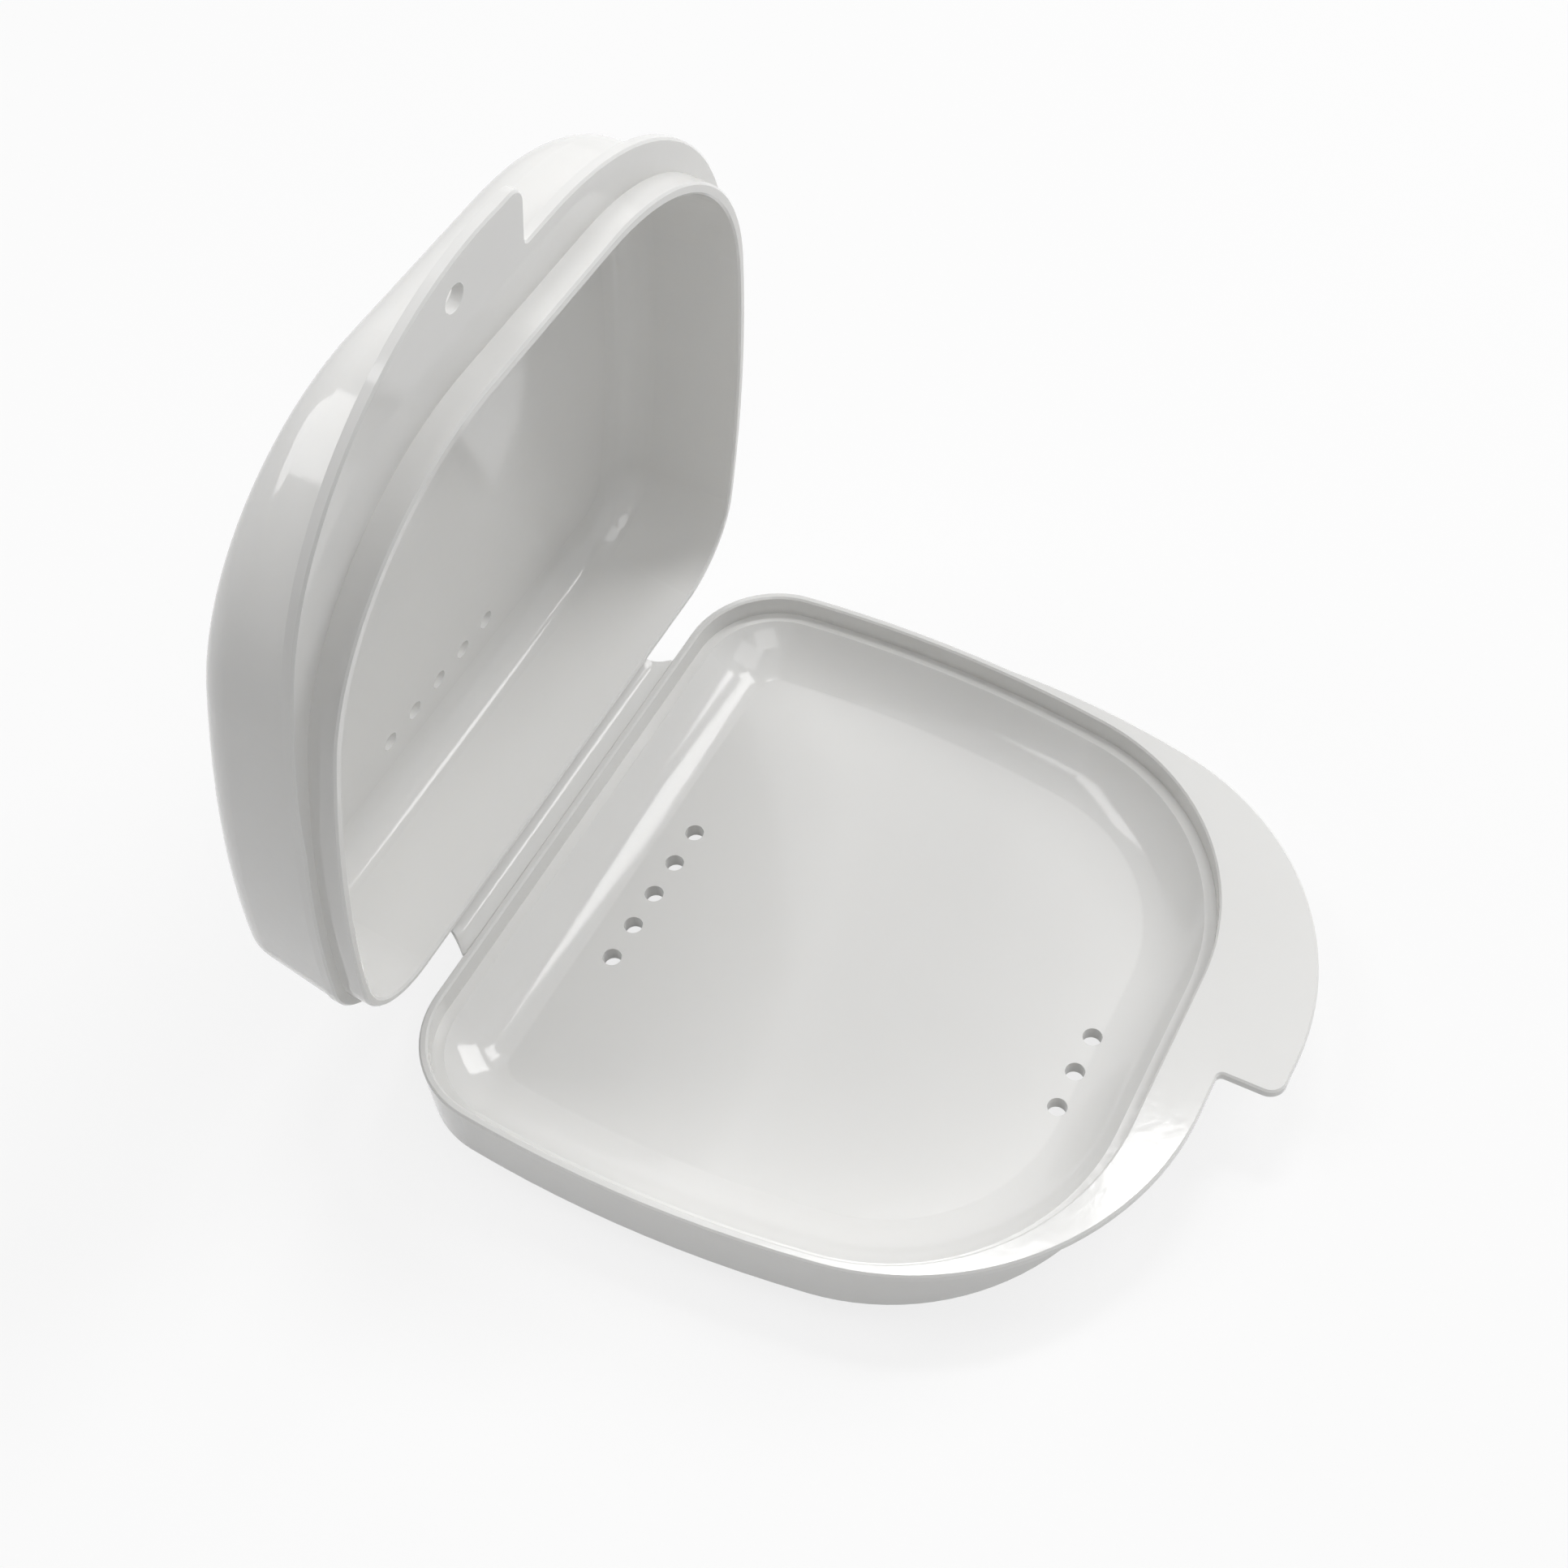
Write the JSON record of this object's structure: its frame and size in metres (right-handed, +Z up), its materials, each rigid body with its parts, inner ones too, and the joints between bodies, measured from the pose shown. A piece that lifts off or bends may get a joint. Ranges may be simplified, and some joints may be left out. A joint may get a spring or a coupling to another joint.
{
  "type": "mouth guard case",
  "caption": "Hinged pocket case for a mouth guard: shallow vented tray, domed lid with locating lip and finger tabs, living hinge.",
  "frame": {"origin": "centre of the tray's flat underside, where the case stands", "axes": "+X along the hinge, towards the tray's finger tab; +Y from the tabs towards the hinge; +Z up from the tray's floor"},
  "size_m": [0.0744, 0.0931, 0.0905],
  "materials": {
    "white_plastic": "gloss"
  },
  "bodies": {
    "base": {"base_tray": "white_plastic", "living_hinge": "white_plastic"},
    "lid": {"lid": "white_plastic"}
  },
  "joints": [
    {"name": "lid_hinge", "type": "hinge", "parent": "base", "child": "lid", "pos_m": [0, 0.0378, 0.0085], "axis": [-1, 0, 0], "range_deg": [-82.9, 97.1], "deforming": ["living_hinge"]}
  ]
}
